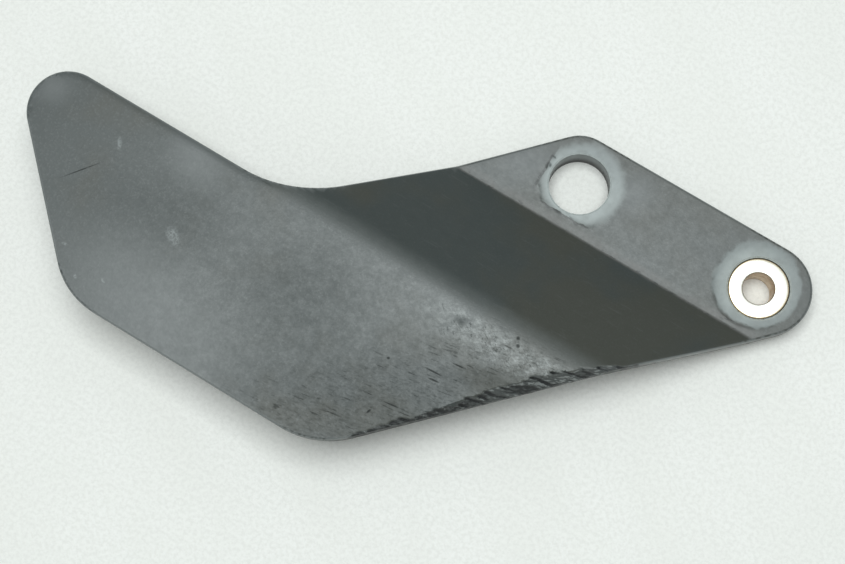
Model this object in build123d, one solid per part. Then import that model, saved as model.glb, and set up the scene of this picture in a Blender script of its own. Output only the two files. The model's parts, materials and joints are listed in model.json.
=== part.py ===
from build123d import *
import math
import os

# Lower chain guard of a motorbike: a moulded plastic blade, stepped outwards from its
# mounting strip, with a turned metal bush seated in the rear mounting hole.
# Millimetres. The origin is on the bush's axis, in the plane that bears on the swingarm.
# +X runs along the row of holes, away from the blade's tip. +Z points out, off the swingarm.

# Mounting strip
hole_spacing = 40.0
lug_radius = 9.5
mount_depth = 7.0
boss_inset = 1.5
boss_root_radius = 0.6
hole_edge_chamfer = 0.3

# Turned bush and the holes that take one
bush_outer_diameter = 11.7
bush_bore_diameter = 6.2
bush_clearance = 0.15
bush_stand_out = 0.2
bush_chamfer = 0.2

# Step between the mounting strip and the blade
wall = 4.0
fold_offset = 9.4
slope_run = 22.2
step_height = 12.0
fold_radius = 1.0
ridge_radius = 10.0

# Blade outline
blade_top_offset = 32.7
blade_width = 38.0
tip_reach = 138.3
tip_edge_angle = 45.0
back_edge_angle = 46.0
chain_edge_angle = 45.5
back_edge_offset = 9.7
tip_radius = 7.8
heel_radius = 15.6
belly_radius = 17.8
neck_radius = 24.0
front_corner_radius = 7.5
rear_corner_radius = 9.0

# Moulded edges: rounded on the face that shows, a small bevel on the back
face_edge_radius = 0.5
back_edge_bevel = 0.4

# Scallop that the chain has worn in the edge that faces it
wear_offset = 41.6
wear_width = 2.1
wear_length = 50.0
wear_angle = 45.0

# Places that follow from the sizes above
blade_bottom_offset = blade_top_offset + blade_width
step_angle = math.degrees(math.atan2(step_height, slope_run))
ridge_offset = fold_offset + slope_run
blade_height = mount_depth + step_height
bush_length = mount_depth + bush_stand_out
hole_radius = bush_outer_diameter / 2 + bush_clearance
boss_radius = lug_radius - boss_inset
front_hole = (-hole_spacing, 0)
rear_hole = (0, 0)
tip_edge_run = tip_radius / math.tan(math.radians(tip_edge_angle / 2)) - tip_radius
margin = 20.0


def line_through(point, angle):
    """A point and the unit vector along a line at an angle to +X."""
    turn = math.radians(angle)
    return Vector(*point), Vector(math.cos(turn), math.sin(turn))


def line_beside(centre, angle, offset):
    """The line at an angle that passes a centre at a distance, on its left (+) or right (-)."""
    turn = math.radians(angle)
    return line_through((centre[0] - offset * math.sin(turn), centre[1] + offset * math.cos(turn)), angle)


def crossing(first, second):
    """Where two lines meet."""
    start, along = first
    other_start, other_along = second
    gap = other_start - start
    scale = along.X * other_along.Y - along.Y * other_along.X
    reach = (gap.X * other_along.Y - gap.Y * other_along.X) / scale
    return start + along * reach


def outline():
    """Plan view of the whole guard: six straight edges, joined by round corners."""
    strip_edge = line_through((0, lug_radius), 0)
    blade_top = line_through((0, -blade_top_offset), 0)
    blade_bottom = line_through((0, -blade_bottom_offset), 0)
    tip_edge = line_through((-tip_reach - tip_edge_run, -blade_top_offset), -tip_edge_angle)
    back_edge = line_beside(front_hole, back_edge_angle, back_edge_offset)
    chain_edge = line_beside(rear_hole, chain_edge_angle, -lug_radius)
    corners = [
        (crossing(strip_edge, chain_edge), rear_corner_radius),
        (crossing(strip_edge, back_edge), front_corner_radius),
        (crossing(back_edge, blade_top), neck_radius),
        (crossing(blade_top, tip_edge), tip_radius),
        (crossing(tip_edge, blade_bottom), heel_radius),
        (crossing(blade_bottom, chain_edge), belly_radius),
    ]
    edge = FilletPolyline(*[point for point, _ in corners], radius=[radius for _, radius in corners], close=True)
    return make_face(edge)


def section():
    """The stepped wall seen along +X, with the fold and the ridge bent in it."""
    shift = wall * math.tan(math.radians(step_angle / 2))
    strip_end = lug_radius + margin
    blade_end = -blade_bottom_offset - margin
    strip_under = mount_depth - wall
    blade_under = blade_height - wall
    corners = [
        (Vector(strip_end, mount_depth), 0),
        (Vector(-fold_offset, mount_depth), fold_radius),
        (Vector(-ridge_offset, blade_height), ridge_radius),
        (Vector(blade_end, blade_height), 0),
        (Vector(blade_end, blade_under), 0),
        (Vector(-ridge_offset - shift, blade_under), ridge_radius - wall),
        (Vector(-fold_offset - shift, strip_under), fold_radius + wall),
        (Vector(strip_end, strip_under), 0),
    ]
    edge = FilletPolyline(*[point for point, _ in corners], radius=[radius for _, radius in corners], close=True)
    return make_face(edge)


def stepped_wall():
    """The outline and the stepped section, each drawn out and kept where both are."""
    length = tip_reach + lug_radius + 2 * margin
    bar = extrude(Plane.YZ.offset(-tip_reach - margin) * section(), length)
    blank = extrude(Pos(0, 0, -margin) * outline(), blade_height + 2 * margin)
    return bar & blank


def rim(solid, side):
    """Edges round the outline, on the outer face (side 1) or the back (side -1)."""
    faces = [face for face in solid.faces() if side * face.normal_at().Z > 0.5]
    edges = [edge for face in faces for edge in face.edges()]
    return [edge for edge in edges if sum(edge.is_same(other) for other in edges) == 1]


def moulded_wall():
    """The stepped wall with its outline rounded on the outer face and bevelled on the back."""
    body = stepped_wall()
    body = fillet(rim(body, 1), face_edge_radius)
    return chamfer(rim(body, -1), back_edge_bevel)


def boss():
    """Round pad on the back of the strip, turned from its profile with a flared root."""
    strip_under = mount_depth - wall
    flare = boss_radius + boss_root_radius
    root_middle = boss_root_radius * (1 - math.sqrt(0.5))
    root = ThreePointArc(
        (boss_radius, strip_under - boss_root_radius),
        (boss_radius + root_middle, strip_under - root_middle),
        (flare, strip_under),
    )
    sides = Polyline(
        (flare, strip_under),
        (flare, mount_depth - wall / 2),
        (0, mount_depth - wall / 2),
        (0, 0),
        (boss_radius, 0),
        (boss_radius, strip_under - boss_root_radius),
    )
    return revolve(Plane.XZ * make_face([root, sides]), Axis.Z)


def bush_holes():
    """Straight holes through the strip and its bosses."""
    bore = extrude(Circle(hole_radius), mount_depth + margin)
    bore = Pos(0, 0, -margin / 2) * bore
    return [Pos(*hole, 0) * bore for hole in (front_hole, rear_hole)]


def hole_rims(solid):
    """The circles of both holes in the outer face."""
    circles = solid.edges().filter_by(GeomType.CIRCLE)
    level = [edge for edge in circles if abs(edge.center().Z - mount_depth) < 1e-3]
    return [edge for edge in level if abs(edge.radius - hole_radius) < 1e-3]


def worn_scallop():
    """A long shallow cylinder, laid across the chain edge, that takes off its outer corner."""
    edge = line_beside(rear_hole, chain_edge_angle, -lug_radius)
    level = line_through((0, -wear_offset), 0)
    spot = crossing(edge, level)
    along = edge[1]
    outwards = Vector(along.Y, -along.X)
    tilt = math.radians(wear_angle)
    across = outwards * math.cos(tilt) - Vector(0, 0, 1) * math.sin(tilt)
    depth = wear_width * math.sin(tilt)
    radius = (wear_length / 2) ** 2 / (2 * depth)
    start = Vector(spot.X, spot.Y, blade_height) - outwards * wear_width - across * wear_width
    centre = start + across.cross(along) * radius
    return extrude(Plane(origin=centre, x_dir=along, z_dir=across) * Circle(radius), 4 * wear_width)


def guard_plate():
    """The moulded blade and strip in one piece, with a boss behind each hole."""
    body = moulded_wall()
    for hole in (front_hole, rear_hole):
        body = body + Pos(*hole, 0) * boss()
    body = body - bush_holes()
    body = chamfer(hole_rims(body), hole_edge_chamfer)
    return body - worn_scallop()


def spacer_bush():
    """Turned sleeve that lets the bolt clamp metal and not plastic."""
    inner = bush_bore_diameter / 2
    outer = bush_outer_diameter / 2
    section_face = make_face(
        Polyline(
            (inner, 0),
            (outer - bush_chamfer, 0),
            (outer, bush_chamfer),
            (outer, bush_length - bush_chamfer),
            (outer - bush_chamfer, bush_length),
            (inner, bush_length),
            close=True,
        )
    )
    return revolve(Plane.XZ * section_face, Axis.Z)


def main():
    os.makedirs("parts", exist_ok=True)
    export_step(guard_plate(), "parts/guard_plate.step")
    export_step(spacer_bush(), "parts/spacer_bush.step")


if __name__ == "__main__":
    main()
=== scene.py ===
import bmesh
import bpy
import json
import math
from types import SimpleNamespace
from mathutils import Matrix, Vector, kdtree, noise


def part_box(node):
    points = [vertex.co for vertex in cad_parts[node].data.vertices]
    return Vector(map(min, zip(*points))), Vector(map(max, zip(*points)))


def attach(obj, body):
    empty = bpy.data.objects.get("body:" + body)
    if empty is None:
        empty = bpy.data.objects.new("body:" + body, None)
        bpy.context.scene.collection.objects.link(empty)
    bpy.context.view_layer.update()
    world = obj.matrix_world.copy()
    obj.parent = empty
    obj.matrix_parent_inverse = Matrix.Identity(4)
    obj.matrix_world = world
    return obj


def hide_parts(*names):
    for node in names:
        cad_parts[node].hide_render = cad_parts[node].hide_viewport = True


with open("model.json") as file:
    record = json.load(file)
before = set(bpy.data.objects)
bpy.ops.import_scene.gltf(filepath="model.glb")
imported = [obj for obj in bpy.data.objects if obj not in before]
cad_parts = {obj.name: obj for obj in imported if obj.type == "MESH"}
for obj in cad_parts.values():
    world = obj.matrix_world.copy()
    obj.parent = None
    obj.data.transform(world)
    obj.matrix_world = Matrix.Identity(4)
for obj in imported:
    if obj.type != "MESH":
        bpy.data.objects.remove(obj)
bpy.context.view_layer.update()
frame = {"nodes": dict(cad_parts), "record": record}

# The finish and wear of a lower chain guard, laid over its CAD solids. Sizes are in
# millimetres and turned into Blender's metres by MM.
MM = 0.001

# Sizes of the guard that the finish follows
mounts = {mount["name"]: mount for mount in frame["record"]["mounts"]}
rear_hole = Vector(mounts["bush_bore"]["pos_m"][:2] + [0]) / MM
front_hole = Vector(mounts["front_bush_hole"]["pos_m"][:2] + [0]) / MM
hole_radius = mounts["front_bush_hole"]["dims"]["r_mm"]
bore_radius = mounts["bush_bore"]["dims"]["r_mm"]
bush_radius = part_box("spacer_bush")[1][0] / MM
blade_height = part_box("guard_plate")[1][2] / MM
strip_height = 7.0
wall = 4.0
fold_line = -9.4
ridge_line = -31.6
ridge_radius = 10.0
lug_radius = 9.5
chain_edge_angle = 45.5

# The moulded ridge is softer than the CAD's arc, over a reach to both sides of its line. The
# CAD's facets there lie less than this sag under the true arc.
ridge_reach = 4.0
facet_sag = 0.05

# The photograph's camera, in the guard's own frame
camera_place = (-16.5, -76.8, 354.7)
camera_target = (-55.6, -33.0, 12.0)
camera_up = (-0.508, 0.845, 0.166)
camera_lens = 77.6

# Pitches of the grids cut into the plate, and the gaps under which corners are merged, first
# those of the CAD's facets and then those of the cut plate
plate_pitch = 1.4
seat_pitch = 0.4
ridge_pitch = 0.7
chewed_pitch = 0.22
facet_gap = 0.002
sliver_width = 0.003

# Band that the chain has chewed along the edge: where it starts and ends, by distance from the
# rear lug, how far in it reaches at most, and its width at a few distances
chewed_start = 24.0
chewed_end = 86.0
chewed_reach = 4.4
chewed_bands = (
    (24, 0.0), (31, 0.7), (36, 1.5), (41, 2.1), (47, 2.5), (51, 2.4),
    (56, 1.9), (61, 1.5), (66, 1.1), (72, 0.8), (79, 0.6), (86, 0.0),
)
border_wander = 0.75
border_patch = 2.6

# Tears in that band: the chain's run in degrees, the tears' size, and how deep the whole band
# is scraped
chain_run = 17.0
torn_length = 6.0
torn_width = 0.50
torn_depth = 0.42
scraped_depth = 0.12

# Seats pressed into the strip round the two holes. The front one ends early at a chord beside
# the fold and at a side towards the blade's tip, with a lip and chips where it is torn.
seat_depth = 0.11
front_seat_centre = Vector((-39.4, 0.3, 0))
rear_seat_centre = Vector((-0.7, 0.4, 0))
seat_radius = 8.6
front_seat_chord = -6.7
front_seat_side = -47.1
lip_height = 0.16
chip_depth = 0.4

# Faint unevenness of the outer face, and the dip of the ridge's end at the outline
swell_height = 0.05
swell_size = 21
brow_dip = 0.12
brow_dip_reach = 1.6

# The bush lies a little to one side in its hole
bush_shift = Vector((-0.035, -0.13, 0))
bush_bevel = 0.22
bush_steps = 96
lathe_pitch = 0.28

# Light: an even surround and one large lamp overhead, both slightly cool
cool_white = (0.93, 1.0, 1.0)
surround_strength = 0.31
softbox_place = (-75, -10, 700)
softbox_target = (-75, -10, 0)
softbox_size = (370, 370)
softbox_power = 3.7
floor_gap = 0.02
floor_size = 1500

# Notes that the worn plate's mesh carries for its material
wear_notes = ("chewed", "groove", "torn", "rim_rubbed_and_lit")


def metres(point):
    """A point given in millimetres, as Blender's metres."""
    return Vector(point) * MM


def ramp(value, low, high):
    """0 below low, 1 above high, and a smooth rise between them."""
    share = min(max((value - low) / (high - low), 0), 1)
    return share * share * (3 - 2 * share)


def between(value, steps):
    """The value read off a line through a few points."""
    for (low, start), (high, end) in zip(steps, steps[1:]):
        if low <= value <= high:
            return start + (end - start) * (value - low) / (high - low)
    return steps[0][1] if value < steps[0][0] else steps[-1][1]


def aimed(place, target, up):
    """The matrix of a camera or lamp at a place, looking at a target, with up towards a vector."""
    back = (metres(place) - metres(target)).normalized()
    right = Vector(up).cross(back).normalized()
    turn = Matrix((right, back.cross(right), back)).transposed().to_4x4()
    return Matrix.Translation(metres(place)) @ turn


def photograph_camera():
    data = bpy.data.cameras.new("camera")
    data.lens = camera_lens
    data.clip_start = 10 * MM
    data.clip_end = 20
    camera = bpy.data.objects.new("camera", data)
    camera.matrix_world = aimed(camera_place, camera_target, camera_up)
    bpy.context.scene.collection.objects.link(camera)
    bpy.context.scene.camera = camera


# The chain edge: a line that touches the rear lug, running down to the blade's corner
edge_turn = math.radians(chain_edge_angle)
edge_along = Vector((-math.cos(edge_turn), -math.sin(edge_turn), 0))
edge_inwards = Vector((-math.sin(edge_turn), math.cos(edge_turn), 0))
edge_start = -lug_radius * edge_inwards


def edge_place(point):
    """How far along the chain edge a point lies, and how far inside it, in millimetres."""
    gap = point - edge_start
    return gap.dot(edge_along), gap.dot(edge_inwards)


def face_height(across):
    """Height of the guard's outer face at a distance across it."""
    share = (fold_line - across) / (fold_line - ridge_line)
    return strip_height + (blade_height - strip_height) * min(max(share, 0), 1)


def ridge_depths(across):
    """How far the CAD's plain arc and the softer moulded ridge lie under the blade's plane."""
    steep = (blade_height - strip_height) / (fold_line - ridge_line)
    turn = math.atan(steep)
    share = (across - ridge_line + ridge_reach) / (2 * ridge_reach)
    if not 0 < share < 1:
        return 0, 0
    run = across - ridge_line + ridge_radius * math.tan(turn / 2)
    arc = 0
    if run > 0:
        arc = ridge_radius - math.sqrt(ridge_radius ** 2 - run * run)
    if run >= ridge_radius * math.sin(turn):
        arc = steep * (across - ridge_line)
    return arc, 2 * ridge_reach * steep * (share ** 3 - share ** 4 / 2)


def faces_where(mesh, test):
    """The faces whose centres pass a test, with their edges and corners."""
    faces = [face for face in mesh.faces if test(face.calc_center_median() / MM, face.normal)]
    edges = {edge for face in faces for edge in face.edges}
    corners = {corner for face in faces for corner in face.verts}
    return list(corners) + list(edges) + faces


def slice_up(mesh, zone, normal, first, last, pitch):
    """Cuts a zone by evenly spaced planes across a direction."""
    for step in range(int((last - first) / pitch) + 1):
        place = normal * (first + step * pitch) * MM
        plane = {"dist": 1e-7, "plane_co": place, "plane_no": normal}
        zone = bmesh.ops.bisect_plane(mesh, geom=zone, **plane)["geom"]
    return zone


def plate_grid():
    """The CAD plate's mesh, merged, and cut finely enough to take its wear."""
    mesh = bmesh.new()
    mesh.from_mesh(frame["nodes"]["guard_plate"].data)
    bmesh.ops.remove_doubles(mesh, verts=mesh.verts, dist=facet_gap * MM)
    flat = math.radians(0.1)
    bmesh.ops.dissolve_limit(mesh, angle_limit=flat, verts=mesh.verts, edges=mesh.edges)
    low, high = (Vector(corner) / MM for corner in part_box("guard_plate"))
    across_x, across_y, across_z = Vector((1, 0, 0)), Vector((0, 1, 0)), Vector((0, 0, 1))
    whole = mesh.verts[:] + mesh.edges[:] + mesh.faces[:]
    whole = slice_up(mesh, whole, across_x, low.x + 1, high.x, plate_pitch)
    slice_up(mesh, whole, across_y, low.y + 1, high.y, plate_pitch)

    def on_ridge(at, way):
        return way.z > 0.5 and abs(at.y - ridge_line) < ridge_reach + 1

    bend = faces_where(mesh, on_ridge)
    first = ridge_line - ridge_reach - ridge_pitch
    slice_up(mesh, bend, across_y, first, ridge_line + ridge_reach + ridge_pitch, ridge_pitch)

    for hole in (front_hole, rear_hole):
        reach = lug_radius + 2

        def on_seat(at, way):
            return way.z > 0.5 and at.z > strip_height - 1 and (at.xy - hole.xy).length < reach

        seat = faces_where(mesh, on_seat)
        seat = slice_up(mesh, seat, across_x, hole.x - reach, hole.x + reach, seat_pitch)
        slice_up(mesh, seat, across_y, hole.y - reach, hole.y + reach, seat_pitch)

    def in_chewed_band(at, way):
        along, inside = edge_place(at)
        near = chewed_start < along < chewed_end and inside < chewed_reach
        return near and at.z > face_height(at.y) - wall - 0.5 and way.z > -0.5

    band = faces_where(mesh, in_chewed_band)
    level = edge_start.dot(edge_along)
    band = slice_up(mesh, band, edge_along, level + chewed_start, level + chewed_end, chewed_pitch)
    level = edge_start.dot(edge_inwards)
    band = slice_up(mesh, band, edge_inwards, level, level + chewed_reach, chewed_pitch)
    slice_up(mesh, band, across_z, blade_height - 2 * wall, blade_height, 2 * chewed_pitch)
    bmesh.ops.remove_doubles(mesh, verts=mesh.verts, dist=sliver_width * MM)
    many_sided = [face for face in mesh.faces if len(face.verts) > 4]
    bmesh.ops.triangulate(mesh, faces=many_sided, ngon_method="BEAUTY")
    return mesh


def chain_tears(plan):
    """How deep the tears along the chain's run are at a point of the plan, from 0 to 1."""
    laid = Matrix.Rotation(-math.radians(chain_run), 3, "Z") @ plan
    across = laid.y + 0.7 * noise.noise(plan / 5)
    return ramp(noise.noise(Vector((laid.x / torn_length, across / torn_width, 3))), -0.22, 0.42)


def seat_shape(point):
    """How far a point lies outside a pressed seat, and how sharp the seat's border is there."""
    wobble = 0.35 * noise.noise(point * 0.45) + 0.12 * noise.noise(point * 1.9)
    if point.x < (front_hole.x + rear_hole.x) / 2:
        outside = (point - front_seat_centre).length - seat_radius
        chord = front_seat_chord - point.y
        side = front_seat_side - point.x
        torn_side = ramp(-point.x, 42, 45) * ramp(-point.y, -4, -2)
        torn_chord = ramp(-point.y, 4, 6) * ramp(-point.x, 31, 34)
        return max(outside, chord, side) + wobble, max(torn_side, torn_chord)
    outside = (point - rear_seat_centre).length - seat_radius
    return outside + wobble, ramp(-point.y, -1, 5)


def rim_points(mesh):
    """The points of the outline's wall, to measure how far a point lies inside the outline."""
    def off_holes(corner):
        gaps = ((corner.co / MM - hole).xy.length for hole in (front_hole, rear_hole))
        return min(gaps) > lug_radius - 1

    walls = [corner for corner in mesh.verts if abs(corner.normal.z) < 0.25 and off_holes(corner)]
    tree = kdtree.KDTree(len(walls))
    for index, corner in enumerate(walls):
        tree.insert(Vector((corner.co.x, corner.co.y, 0)), index)
    tree.balance()
    return tree


def chewed_move(point, facing_up):
    """How the chain has moved a point near its edge, how rough it left it, and its tear's depth."""
    plan = Vector((point.x, point.y, 0))
    along, inside = edge_place(plan)
    band = between(along, chewed_bands)
    tear = chain_tears(plan)
    wander = border_wander * noise.noise(plan / border_patch) * ramp(band, 0, 0.8)
    border = band * (0.92 + 0.16 * tear) + wander
    rough = (1 - ramp(inside, border - 0.38, border + 0.22)) * ramp(band, 0.05, 0.5)
    upper = 0.66 + 0.34 * ramp(inside, 0.1, max(border - 0.5, 0.6))
    drop = rough * (scraped_depth + torn_depth * tear * upper * min(1, 0.3 + band / 2.2))
    low = ramp(face_height(point.y) - point.z, wall - 2.2, wall - 0.9)
    move = Vector((0, 0, -drop * (1 - low)))
    if not facing_up:
        move += edge_inwards * (0.18 * drop + 0.06 * rough) * (1 - low)
        move -= edge_inwards * 0.10 * rough * low * noise.noise(plan / 1.3)
    return move, rough, tear * rough * upper


def seat_lift(point):
    """How far the washers have lifted or pressed a point of the strip, and how torn it is."""
    outside, sharp = seat_shape(Vector((point.x, point.y, 0)))
    lift = -seat_depth * ramp(-outside, 0, 1.8 - 1.55 * sharp)
    if point.x >= front_hole.x + 3:
        return lift, 0
    lip = sharp * math.exp(-(outside / 0.22) ** 2) * max(0, 0.35 + noise.noise(point * 1.3))
    chip = max(0, noise.noise(point * 1.7 + Vector((9, 4, 0))) - 0.15)
    chip *= sharp * math.exp(-((outside + 0.3) / 0.3) ** 2)
    return lift + lip_height * lip - chip_depth * chip, min(1, lip + 2 * chip)


def ridge_drop(point, facing_up):
    """How far a point near the ridge is let down to make the CAD's arc a softer one."""
    arc, eased = ridge_depths(point.y)
    sag = blade_height - arc - point.z
    if not (facing_up and 0 < sag < facet_sag):
        sag = 0
    return (eased - arc - sag) * (1 - ramp(face_height(point.y) - point.z, 0.6, wall - 1.2))


def wear_plate(mesh):
    """Presses, chews and rounds the cut plate, and notes where for its material."""
    chewed, groove, torn, rim_rubbed_and_lit = (mesh.verts.layers.float.new(name) for name in wear_notes)
    mesh.normal_update()
    rim = rim_points(mesh)
    for corner in mesh.verts:
        point = corner.co / MM
        top = face_height(point.y)
        outer = point.z > top - wall + 0.6 and corner.normal.z > -0.3
        facing_up = corner.normal.z > 0.6
        inset = rim.find(corner.co.xy.to_3d())[2] / MM
        move = Vector((0, 0, 0))

        along, inside = edge_place(Vector((point.x, point.y, 0)))
        if outer and chewed_start < along < chewed_end and inside < chewed_reach:
            move, corner[chewed], corner[groove] = chewed_move(point, facing_up)
        if facing_up and point.z < strip_height + 0.3 and point.y > fold_line + 0.4:
            lift, corner[torn] = seat_lift(point)
            move.z += lift
        if outer:
            move.z -= ridge_drop(point, facing_up)
        if facing_up:
            if inset < brow_dip_reach and ridge_line - 4 < point.y < ridge_line:
                move.z -= brow_dip * (1 - inset / brow_dip_reach) ** 2
            move.z += swell_height * noise.noise(point / swell_size) * ramp(inset, 0, 6)
        # The outline's top rim is noted for a paler colour: rubbed wear and a painted highlight.
        if point.z > top - 1.2:
            corner[rim_rubbed_and_lit] = 1 - ramp(inset, 0.1, 0.5)
        corner.co += move * MM


def smooth_shaded(mesh, name, sharp_angle=40):
    """A finished bmesh as an object, smooth apart from its sharp edges."""
    data = bpy.data.meshes.new(name)
    bmesh.ops.recalc_face_normals(mesh, faces=mesh.faces)
    mesh.to_mesh(data)
    mesh.free()
    if "custom_normal" in data.attributes:
        data.attributes.remove(data.attributes["custom_normal"])
    data.polygons.foreach_set("use_smooth", [True] * len(data.polygons))
    data.set_sharp_from_angle(angle=math.radians(sharp_angle))
    made = bpy.data.objects.new(name, data)
    bpy.context.scene.collection.objects.link(made)
    return made


def material(name):
    """A new node material, its tree and its main shader."""
    made = bpy.data.materials.new(name)
    made.use_nodes = True
    return made, made.node_tree, made.node_tree.nodes["Principled BSDF"]


def add(tree, kind, inputs=(), **settings):
    """A node with its settings, and its inputs linked to sockets or set to values."""
    made = tree.nodes.new("ShaderNode" + kind)
    for key, value in settings.items():
        setattr(made, key, value)
    for key, value in dict(inputs).items():
        if isinstance(value, bpy.types.NodeSocket):
            tree.links.new(value, made.inputs[key])
        else:
            made.inputs[key].default_value = value
    return made


def object_place(tree):
    return add(tree, "TexCoord").outputs["Object"]


def calc(tree, operation, first, second=0.0, clamp=False):
    return add(tree, "Math", {0: first, 1: second}, operation=operation, use_clamp=clamp).outputs[0]


def times(tree, *factors):
    product = factors[0]
    for factor in factors[1:]:
        product = calc(tree, "MULTIPLY", product, factor)
    return product


def plus(tree, *terms):
    total = terms[0]
    for term in terms[1:]:
        total = calc(tree, "ADD", total, term)
    return total


def minus(tree, first, second):
    return calc(tree, "SUBTRACT", first, second)


def larger(tree, first, second):
    return calc(tree, "MAXIMUM", first, second)


def step_up(tree, value, low, high, start=0.0, end=1.0):
    """start below low, end above high, with a smooth change between them."""
    inputs = {"Value": value, "From Min": low, "From Max": high, "To Min": start, "To Max": end}
    return add(tree, "MapRange", inputs, interpolation_type="SMOOTHSTEP").outputs["Result"]


def step_down(tree, value, low, high, start=1.0, end=0.0):
    """start below low, end above high: by default 1 and 0."""
    return step_up(tree, value, low, high, start, end)


def mixed(tree, share, first, second):
    """A colour between two colours."""
    node = add(tree, "Mix", {0: share}, data_type="RGBA")
    for socket, colour in ((node.inputs[6], first), (node.inputs[7], second)):
        if isinstance(colour, bpy.types.NodeSocket):
            tree.links.new(colour, socket)
        else:
            socket.default_value = (*colour, 1)
    return node.outputs[2]


def cloud(tree, place, size, detail=3.0, stretch=1.0, turn=0.0, shift=0.0, crisp=0.55):
    """Noise with patches of a size in millimetres, drawn out along a direction in the plan."""
    turned = {"Rotation": (0, 0, math.radians(turn)), "Location": (shift, shift, 0)}
    inputs = {"Vector": place, "Scale": (stretch, 1, 1), **turned}
    laid = add(tree, "Mapping", inputs, vector_type="TEXTURE").outputs[0]
    inputs = {"Vector": laid, "Scale": 1 / (size * MM), "Detail": detail, "Roughness": crisp}
    return add(tree, "TexNoise", inputs).outputs["Fac"]


def plan_distance(tree, place, centre):
    """Distance in the plan from an upright line through a centre, in millimetres."""
    gap = add(tree, "VectorMath", {0: place, 1: metres(centre)}, operation="SUBTRACT").outputs[0]
    flat = add(tree, "VectorMath", {0: gap, 1: (1000, 1000, 0)}, operation="MULTIPLY").outputs[0]
    return add(tree, "VectorMath", {0: flat}, operation="LENGTH").outputs["Value"]


def axis_value(tree, place, axis):
    """One coordinate of a place, in millimetres."""
    split = add(tree, "SeparateXYZ", {0: place})
    return calc(tree, "MULTIPLY", split.outputs[axis], 1 / MM)


def stroke(tree, place, start, end, width, core=0.3):
    """1 on the core of a long mark between two points of the plan, fading towards its border."""
    start, end = Vector(start), Vector(end)
    middle = (start + end) / 2
    turn = math.atan2(end.y - start.y, end.x - start.x)
    gap = add(tree, "VectorMath", {0: place, 1: metres(middle.to_3d())}, operation="SUBTRACT")
    inputs = {"Vector": gap.outputs[0], "Rotation": (0, 0, -turn)}
    laid = add(tree, "Mapping", inputs, vector_type="POINT").outputs[0]
    half = (end - start).length / 2
    scale = (1 / (half * MM), 1 / (width * MM), 0)
    shaped = add(tree, "VectorMath", {0: laid, 1: scale}, operation="MULTIPLY").outputs[0]
    reach = add(tree, "VectorMath", {0: shaped}, operation="LENGTH").outputs["Value"]
    return step_up(tree, reach, core, 1.0, 1.0, 0.0)


# Single marks on the blade: where each starts and ends in the plan, and its half width
dark_marks = (
    ((-125.0, -53.1), (-118.4, -44.7), 0.17),
    ((-46.6, -47.4), (-41.9, -47.1), 0.24),
    ((-44.9, -48.8), (-42.0, -48.4), 0.26),
    ((-49.9, -56.8), (-45.7, -56.3), 0.18),
    ((-42.6, -44.1), (-39.0, -43.7), 0.22),
    ((-53.2, -49.5), (-52.4, -49.3), 0.34),
    ((-51.0, -60.4), (-50.5, -59.0), 0.30),
    ((-34.4, -33.4), (-33.7, -34.2), 0.46),
    ((-33.7, -34.6), (-33.0, -35.5), 0.48),
)
pale_marks = (
    ((-119.0, -39.4), (-117.4, -42.2), 0.60),
    ((-112.0, -66.3), (-110.9, -67.0), 0.45),
    ((-107.1, -64.4), (-105.8, -64.9), 0.40),
    ((-117.5, -62.6), (-115.7, -62.3), 0.38),
    ((-101.9, -49.2), (-97.4, -52.2), 1.50),
)

# Wide areas, as a start, an end and a half width: where the haze is thicker, where handling has
# cleared and dulled it by a share, where the chain's cuts crowd, and a smudge on the ridge
haze_strength = 0.85
hazed_areas = (
    ((-126, -56), (-66, -76), 19),
    ((-113, -33), (-95, -39), 7),
    ((-60, -10), (-42, 6), 8),
    ((-139, -42), (-131, -34), 5),
    ((-36, 0), (-24, 7), 6),
)
handled_areas = (
    ((-92, -76), (-8, -40), 22, 0.82),
    ((-128, -56), (-82, -42), 12, 0.5),
    ((-90, -57), (-57, -37), 14, 0.6),
    ((-45, -48), (-22, -37.5), 4.2, 0.85),
    ((-46.3, -37.6), (-43.0, -35.4), 1.6, 1.1),
)
streaked_area = ((-48.5, -43.8), (-34.5, -39.6), 3.0)
ridge_smudge = ((-45.8, -37.2), (-42.9, -35.6), 1.5)

# Colours of the plastic, from its clean depth to its wear, among them painted highlights and shade
blue_black = (0.031, 0.039, 0.037)
olive_black = (0.038, 0.040, 0.031)
haze_grey = (0.092, 0.100, 0.099)
speckle_grey = (0.090, 0.098, 0.096)
ridge_highlight_grey = (0.092, 0.100, 0.096)
brushed_grey = (0.12, 0.125, 0.125)
rear_seat_greys = ((0.355, 0.385, 0.375), (0.225, 0.248, 0.245))
rear_seat_shade = (0.19, 0.212, 0.212)
front_seat_greys = ((0.37, 0.40, 0.395), (0.215, 0.235, 0.24))
burr_and_shadow_black = (0.014, 0.016, 0.015)
soil_brown = (0.098, 0.094, 0.088)
chip_black = (0.020, 0.021, 0.020)
scuff_grey = (0.235, 0.247, 0.240)
scar_black = (0.012, 0.014, 0.013)
spot_grey = (0.26, 0.28, 0.28)
torn_groove_shade_greys = ((0.058, 0.063, 0.060), (0.006, 0.007, 0.007))
crest_highlight_grey = (0.21, 0.22, 0.215)
rim_rubbed_lit_grey = (0.180, 0.192, 0.190)
torn_black = (0.016, 0.018, 0.016)
mouth_highlight_grey = (0.42, 0.45, 0.44)
hole_depth_shade_black = (0.012, 0.013, 0.012)

# Colours of the bush and of the floor
plated_whites = ((0.80, 0.78, 0.72), (0.76, 0.70, 0.58))
rim_tan = (0.66, 0.52, 0.34)
bore_browns = ((0.50, 0.36, 0.23), (0.74, 0.63, 0.50))
board_whites = ((0.935, 0.915, 0.882), (0.905, 0.887, 0.846))
speck_tan = (0.70, 0.67, 0.63)
grain_white = (0.82, 0.80, 0.765)


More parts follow.
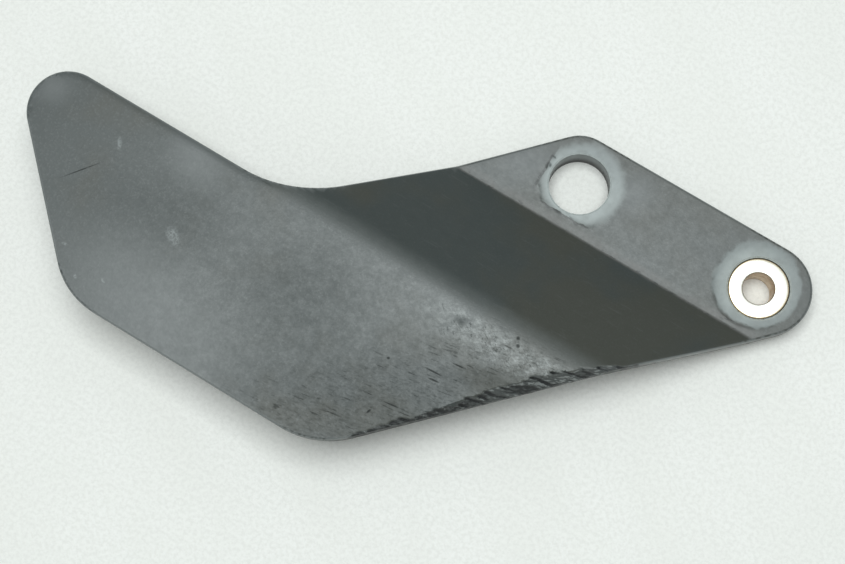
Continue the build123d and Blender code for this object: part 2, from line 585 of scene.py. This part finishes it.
def plastic_fields(tree):
    """The coordinates, distances and noises that the plastic's layers share."""
    place = object_place(tree)
    x, y, z = (axis_value(tree, place, axis) for axis in "XYZ")
    sine, cosine = math.sin(edge_turn), math.cos(edge_turn)
    return SimpleNamespace(
        place=place,
        x=x,
        y=y,
        z=z,
        mottle=cloud(tree, place, 2.4, detail=5),
        crinkle=cloud(tree, place, 0.9, detail=5, shift=0.3, crisp=0.75),
        patches=cloud(tree, place, 19, detail=3),
        grain=cloud(tree, place, 0.40, detail=2),
        brushed=cloud(tree, place, 0.50, detail=3, stretch=12),
        face=step_down(tree, y, ridge_line - 2.5, ridge_line + 2.5),
        strip=step_up(tree, y, fold_line - 0.4, fold_line),
        front_away=plan_distance(tree, place, front_hole),
        rear_away=plan_distance(tree, place, rear_hole),
        edge_out=minus(tree, times(tree, x, sine), times(tree, y, cosine)),
        edge_along=plus(tree, times(tree, x, -cosine), times(tree, y, -sine)),
    )


def weathered_colour(tree, at):
    """Black plastic with its haze and grain, and how much handling has cleared and dulled it."""
    olive = plus(tree, at.patches, step_up(tree, at.x, -70, -15, -0.10, 0.10))
    colour = mixed(tree, step_up(tree, olive, 0.38, 0.62), blue_black, olive_black)

    haze = step_up(tree, at.mottle, 0.34, 0.66, 0.0, 0.15)
    for area in hazed_areas:
        haze = plus(tree, haze, times(tree, stroke(tree, at.place, *area, core=0), haze_strength))
    handled = 0.0
    for *area, share in handled_areas:
        handled = plus(tree, handled, times(tree, stroke(tree, at.place, *area, core=0), share))
    haze = minus(tree, haze, times(tree, handled, 0.22))
    haze = plus(tree, haze, times(tree, at.strip, 0.12))
    level = larger(tree, at.face, at.strip)
    colour = mixed(tree, times(tree, haze, level), colour, haze_grey)

    speckled = step_up(tree, at.grain, 0.52, 0.70, 0.0, 0.45)
    speckled = times(tree, speckled, step_up(tree, level, 0, 1, 0.25, 1.0))
    colour = mixed(tree, speckled, colour, speckle_grey)

    # A paler band along the ridge's bend: painted highlight.
    ridge_highlight = step_up(tree, at.y, ridge_line - 3, ridge_line - 0.6)
    ridge_highlight = times(tree, ridge_highlight, step_down(tree, at.y, ridge_line + 0.2, ridge_line + 2.8))
    colour = mixed(tree, times(tree, ridge_highlight, 0.4), colour, ridge_highlight_grey)
    streaks = step_up(tree, at.brushed, 0.62, 0.72, 0.0, 0.14)
    return mixed(tree, streaks, colour, brushed_grey), handled


def seat_area(tree, at, centre, soft, past):
    """1 inside a round pressed seat, with a wandering border that is soft inwards and past it."""
    wander = times(tree, minus(tree, at.mottle, 0.5), 2.6)
    away = plus(tree, plan_distance(tree, at.place, centre), wander)
    return step_down(tree, away, seat_radius - soft, seat_radius + past)


def pressed_seats(tree, at, colour):
    """Plastic worn pale round the holes by the washers, and the squeezed lip at the front one, with
    a dark line just outside it that is its own black and its painted shadow.
    """
    wobble = times(tree, minus(tree, at.mottle, 0.5), 1.2)
    wobble = plus(tree, wobble, times(tree, minus(tree, at.crinkle, 0.5), 0.7))
    jagged = plus(tree, at.y, wobble)
    ragged = plus(tree, at.x, wobble)
    past_chord = step_up(tree, jagged, front_seat_chord - 0.12, front_seat_chord + 0.12)
    past_side = step_up(tree, ragged, front_seat_side - 0.2, front_seat_side + 0.1)
    front = times(tree, seat_area(tree, at, front_seat_centre, 1.7, 0.6), past_chord, past_side)
    rear = times(tree, seat_area(tree, at, rear_seat_centre, 0.6, 0.3), at.strip)
    pressed = step_up(tree, at.mottle, 0.30, 0.65, 0.72, 1.0)

    rear_pale = mixed(tree, step_up(tree, at.rear_away, 6.4, 9.0), *rear_seat_greys)
    rear_pale = mixed(tree, step_up(tree, at.x, -7, 5, 0.0, 0.55), rear_pale, rear_seat_shade)
    colour = mixed(tree, times(tree, rear, pressed), colour, rear_pale)
    front_pale = mixed(tree, step_up(tree, at.y, 1, 8, 0.0, 0.55), *front_seat_greys)
    colour = mixed(tree, times(tree, front, pressed), colour, front_pale)

    # A dark line just outside the torn border: the squeezed lip's black, with its painted shadow.
    past_chord = minus(tree, front_seat_chord, jagged)
    past_edge = larger(tree, past_chord, minus(tree, front_seat_side, ragged))
    burr_and_shadow = calc(tree, "ABSOLUTE", minus(tree, past_edge, 0.32))
    broken = step_up(tree, at.crinkle, 0.36, 0.52, 0.25, 1.0)
    burr_and_shadow = times(tree, step_down(tree, burr_and_shadow, 0.10, 0.38), broken)
    burr_and_shadow = times(tree, burr_and_shadow, step_down(tree, at.front_away, 8.6, 9.4))
    burr_and_shadow = times(tree, burr_and_shadow, step_down(tree, at.y, 1.5, 3.5))
    return colour, larger(tree, front, rear), burr_and_shadow


def soiled_fold(tree, at, colour):
    """The soiled and chipped edge of the strip, beside the fold."""
    fold_wear = times(tree, at.strip, step_down(tree, at.y, fold_line + 0.8, fold_line + 2.2))
    soiled = times(tree, fold_wear, step_up(tree, at.mottle, 0.36, 0.60, 0.25, 0.8))
    colour = mixed(tree, soiled, colour, soil_brown)
    chips = step_up(tree, cloud(tree, at.place, 0.75, detail=3, stretch=2.6, shift=0.4), 0.62, 0.68)
    return mixed(tree, times(tree, fold_wear, chips, 0.8), colour, chip_black)


def scuffed_ridge(tree, at, colour):
    """The scuffed back of the ridge, palest towards the chewed edge, and its dark flecks."""
    scuffed = step_up(tree, at.x, -57, -42)
    scuffed = times(tree, scuffed, step_up(tree, at.y, ridge_line - 11, ridge_line - 6))
    scuffed = times(tree, scuffed, step_down(tree, at.y, ridge_line - 3.8, ridge_line - 1.5))
    smudge = stroke(tree, at.place, *ridge_smudge, core=0)
    scuffed = times(tree, scuffed, step_up(tree, smudge, 0, 1, 1.0, 0.25))
    flecks = cloud(tree, at.place, 0.55, detail=4, stretch=2.4, turn=-40, shift=0.9, crisp=0.7)
    flecks = times(tree, scuffed, step_up(tree, flecks, 0.58, 0.66))
    scuffs = cloud(tree, at.place, 1.2, detail=7, stretch=1.6, turn=20, crisp=0.78)
    scratched = cloud(tree, at.place, 0.42, detail=5, stretch=3.2, turn=-28, shift=0.7, crisp=0.75)
    scratched = step_up(tree, step_up(tree, scratched, 0.46, 0.60), 0, 1, 0.50, 1.0)
    share = times(tree, scuffed, step_up(tree, scuffs, 0.38, 0.62), scratched)
    return mixed(tree, share, colour, scuff_grey), flecks


def widest(tree, place, marks):
    """1 on any of several marks, each a start, an end and a half width."""
    shown = 0.0
    for mark in marks:
        shown = larger(tree, shown, stroke(tree, place, *mark))
    return shown


def chain_cuts(tree, at, colour, flecks):
    """Fine dark cuts along the chain's run, thickest by the chewed edge, and single marks."""
    near_edge = times(tree, step_up(tree, at.edge_out, lug_radius - 20, lug_radius - 5), at.face)
    turn = chain_run / 2
    cuts = cloud(tree, at.place, 0.36, detail=2, stretch=9, turn=turn, shift=0.4)
    cuts = plus(tree, cuts, times(tree, stroke(tree, at.place, *streaked_area, core=0), 0.09))
    cuts = times(tree, step_up(tree, cuts, 0.59, 0.68), near_edge)
    cuts = times(tree, cuts, step_up(tree, at.mottle, 0.44, 0.60))
    pits = cloud(tree, at.place, 0.42, detail=4, stretch=2.6, turn=turn, shift=0.6, crisp=0.75)
    pits = times(tree, step_up(tree, pits, 0.48, 0.66), near_edge, 0.28)
    cuts = larger(tree, times(tree, cuts, 0.8), pits)
    cuts = larger(tree, cuts, times(tree, flecks, 0.6))

    grainy = step_up(tree, at.grain, 0.3, 0.5, 0.5, 1.0)
    marks = times(tree, widest(tree, at.place, dark_marks), grainy)
    scars = larger(tree, times(tree, cuts, 0.9), marks)
    colour = mixed(tree, times(tree, scars, 0.85), colour, scar_black)
    grainy = step_up(tree, at.grain, 0.40, 0.58, 0.12, 0.48)
    spots = times(tree, widest(tree, at.place, pale_marks), grainy)
    return mixed(tree, spots, colour, spot_grey), cuts, scars


def chewed_edge(tree, at, colour):
    """Torn plastic along the chain's run with fibres, painted shade in the groove bottoms, painted
    highlights on the crests, and a rim partly rubbed and partly painted highlight.
    """
    notes = [add(tree, "Attribute", attribute_name=name) for name in wear_notes]
    chewed, groove, torn, rim_rubbed_and_lit = (note.outputs["Fac"] for note in notes)
    fibres = cloud(tree, at.place, 0.40, detail=3, stretch=9, turn=chain_run, shift=0.2)
    fibres = step_up(tree, fibres, 0.36, 0.66, -0.42, 0.42)
    depth = plus(tree, step_up(tree, groove, 0.0, 0.75), fibres)
    crumbs = step_up(tree, at.crinkle, 0.36, 0.56, -0.1, 0.9)
    depth = plus(tree, depth, times(tree, step_up(tree, at.edge_along, 52, 66), crumbs))
    clumps = cloud(tree, at.place, 3.2, detail=2, stretch=1.6, turn=chain_run, shift=0.5)
    depth = times(tree, depth, step_up(tree, clumps, 0.38, 0.62, 0.55, 1.15))
    # The torn band darkens with groove depth as painted shade and is paler on the crests as painted
    # highlight.
    torn_with_painted_light = mixed(tree, step_up(tree, depth, 0.10, 0.85), *torn_groove_shade_greys)
    torn_with_painted_light = mixed(tree, step_down(tree, depth, -0.32, -0.08, 0.85), torn_with_painted_light, crest_highlight_grey)
    # The outline's rim is paled: rubbed wear, together with a painted highlight.
    colour = mixed(tree, times(tree, rim_rubbed_and_lit, 0.95), colour, rim_rubbed_lit_grey)
    colour = mixed(tree, step_up(tree, chewed, 0.15, 0.5), colour, torn_with_painted_light)
    return mixed(tree, step_up(tree, torn, 0.35, 0.9, 0.0, 0.5), colour, torn_black), chewed


def hole_walls(tree, at, colour):
    """Holes: a painted highlight at the mouth, and painted shade darkening the wall towards the
    back.
    """
    nearest = calc(tree, "MINIMUM", at.front_away, at.rear_away)
    # The hole's rounded mouth is paled as a painted highlight.
    mouth = step_down(tree, nearest, hole_radius + 0.25, hole_radius + 0.40)
    mouth = times(tree, mouth, step_up(tree, at.z, strip_height - 0.5, strip_height - 0.3))
    colour = mixed(tree, times(tree, mouth, 0.8), colour, mouth_highlight_grey)
    # The wall darkens towards the back as painted shade.
    in_hole = step_down(tree, nearest, hole_radius + 0.01, hole_radius + 0.05)
    return mixed(tree, times(tree, in_hole, step_down(tree, at.z, 1.0, 5.0)), colour, hole_depth_shade_black)


def moulded_plastic():
    """Black plastic gone grey: hazed, pressed pale round the holes, scuffed and chewed."""
    made, tree, shader = material("moulded_plastic")
    at = plastic_fields(tree)
    colour, handled = weathered_colour(tree, at)
    colour, seat, burr_and_shadow = pressed_seats(tree, at, colour)
    colour = soiled_fold(tree, at, colour)
    # The dark line just outside the front seat's torn border: the squeezed lip's own black, and its
    # painted shadow.
    colour = mixed(tree, times(tree, burr_and_shadow, 0.85), colour, burr_and_shadow_black)
    colour, flecks = scuffed_ridge(tree, at, colour)
    colour, cuts, scars = chain_cuts(tree, at, colour, flecks)
    colour, chewed = chewed_edge(tree, at, colour)
    colour = hole_walls(tree, at, colour)
    tree.links.new(colour, shader.inputs["Base Color"])

    worn = calc(tree, "MAXIMUM", seat, chewed, clamp=True)
    rough = plus(
        tree,
        step_up(tree, at.patches, 0.3, 0.7, 0.43, 0.47),
        step_up(tree, at.mottle, 0.3, 0.7, -0.02, 0.03),
        step_up(tree, at.crinkle, 0.32, 0.68, -0.03, 0.03),
        times(tree, handled, 0.13),
        times(tree, worn, 0.12),
        times(tree, scars, 0.30),
    )
    tree.links.new(rough, shader.inputs["Roughness"])
    shader.inputs["Specular IOR Level"].default_value = 0.8

    relief = plus(tree, times(tree, at.grain, 0.5), times(tree, at.brushed, 0.25))
    relief = minus(tree, relief, times(tree, cuts, 0.9))
    inputs = {"Strength": 0.35, "Distance": 0.06 * MM, "Height": relief}
    tree.links.new(add(tree, "Bump", inputs).outputs[0], shader.inputs["Normal"])
    return made


def plated_steel():
    """Turned steel with a bright plated face, tan at its rim, and a darker brown bore."""
    made, tree, shader = material("plated_steel")
    place = object_place(tree)
    away = plan_distance(tree, place, rear_hole + bush_shift)
    tone_noise = cloud(tree, place, 1.8, detail=4)
    in_bore = step_up(tree, away, bore_radius + 0.03, bore_radius + 0.16, 1.0, 0.0)
    rim = step_up(tree, away, bush_radius - 0.42, bush_radius - 0.16)
    colour = mixed(tree, times(tree, tone_noise, 0.3), *plated_whites)
    colour = mixed(tree, rim, colour, rim_tan)
    # The bore is coloured a darker brown than the face.
    bore = mixed(tree, step_up(tree, tone_noise, 0.38, 0.62), *bore_browns)
    colour = mixed(tree, in_bore, colour, bore)
    tree.links.new(colour, shader.inputs["Base Color"])
    shader.inputs["Metallic"].default_value = 1.0
    rings = calc(tree, "SINE", times(tree, away, 2 * math.pi / lathe_pitch))
    lathe = plus(tree, times(tree, rings, 0.5), cloud(tree, place, 0.3, detail=2))
    rough = step_up(tree, tone_noise, 0.3, 0.7, 0.34, 0.46)
    rough = plus(tree, rough, times(tree, in_bore, 0.12))
    tree.links.new(rough, shader.inputs["Roughness"])
    inputs = {"Strength": 0.25, "Distance": 0.01 * MM, "Height": lathe}
    tree.links.new(add(tree, "Bump", inputs).outputs[0], shader.inputs["Normal"])
    return made


def floor_material():
    """A pale painted board with faint smears."""
    made, tree, shader = material("pale_floor")
    place = object_place(tree)
    smears = cloud(tree, place, 14, detail=6, stretch=2.5, turn=-35)
    specks = step_up(tree, cloud(tree, place, 1.4, detail=5), 0.60, 0.78)
    colour = mixed(tree, step_up(tree, smears, 0.3, 0.7), *board_whites)
    colour = mixed(tree, times(tree, specks, 0.18), colour, speck_tan)
    fine = step_up(tree, cloud(tree, place, 0.8, detail=4, crisp=0.7), 0.38, 0.66)
    colour = mixed(tree, times(tree, fine, 0.80), colour, grain_white)
    tree.links.new(colour, shader.inputs["Base Color"])
    shader.inputs["Roughness"].default_value = 0.7
    return made


def studio_floor():
    """The floor that the guard's bosses stand on."""
    mesh = bpy.data.meshes.new("floor")
    grid = bmesh.new()
    bmesh.ops.create_grid(grid, x_segments=1, y_segments=1, size=floor_size * MM)
    bmesh.ops.translate(grid, verts=grid.verts, vec=metres((0, 0, -floor_gap)))
    grid.to_mesh(mesh)
    grid.free()
    floor = bpy.data.objects.new("floor", mesh)
    mesh.materials.append(floor_material())
    bpy.context.scene.collection.objects.link(floor)


def area_lamp(name, place, target, size, power, colour):
    data = bpy.data.lights.new(name, "AREA")
    data.shape = "RECTANGLE"
    data.size = size[0] * MM
    data.size_y = size[1] * MM
    data.energy = power
    data.color = colour
    lamp = bpy.data.objects.new(name, data)
    lamp.matrix_world = aimed(place, target, (0, 1, 0.01))
    bpy.context.scene.collection.objects.link(lamp)


def studio():
    scene = bpy.context.scene
    scene.view_settings.view_transform = "Standard"
    world = bpy.data.worlds.new("studio")
    world.use_nodes = True
    world.node_tree.nodes["Background"].inputs["Color"].default_value = (*cool_white, 1)
    world.node_tree.nodes["Background"].inputs["Strength"].default_value = surround_strength
    scene.world = world
    area_lamp("softbox", softbox_place, softbox_target, softbox_size, softbox_power, cool_white)


def worn_plate():
    """The guard's moulding with its wear, standing for the CAD plate."""
    mesh = plate_grid()
    wear_plate(mesh)
    plate = smooth_shaded(mesh, "worn_guard_plate")
    plate.data.materials.clear()
    plate.data.materials.append(moulded_plastic())
    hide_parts("guard_plate")
    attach(plate, "root")


def turned_bush():
    """The bush, spun from its section and standing for the CAD bush."""
    low, high = (Vector(corner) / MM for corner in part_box("spacer_bush"))
    mesh = bmesh.new()
    section = (
        (bore_radius, low.z),
        (bush_radius, low.z),
        (bush_radius, high.z),
        (bore_radius, high.z),
    )
    corners = [mesh.verts.new(metres((across, 0, up))) for across, up in section]
    pairs = zip(corners, corners[1:] + corners[:1])
    profile = corners + [mesh.edges.new(pair) for pair in pairs]
    turn = {"cent": (0, 0, 0), "axis": (0, 0, 1), "angle": 2 * math.pi, "steps": bush_steps}
    bmesh.ops.spin(mesh, geom=profile, use_merge=True, **turn)
    bmesh.ops.remove_doubles(mesh, verts=mesh.verts, dist=facet_gap * MM)
    bmesh.ops.recalc_face_normals(mesh, faces=mesh.faces)
    rims = [edge for edge in mesh.edges if edge.is_manifold and edge.calc_face_angle() > 1]
    bevel = {"offset": bush_bevel * MM, "affect": "EDGES", "segments": 3, "profile": 0.5}
    bmesh.ops.bevel(mesh, geom=rims, material=-1, **bevel)
    bmesh.ops.translate(mesh, verts=mesh.verts, vec=bush_shift * MM)
    bush = smooth_shaded(mesh, "turned_spacer_bush", 30)
    bush.data.materials.append(plated_steel())
    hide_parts("spacer_bush")
    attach(bush, "root")


photograph_camera()
studio()
studio_floor()
worn_plate()
turned_bush()
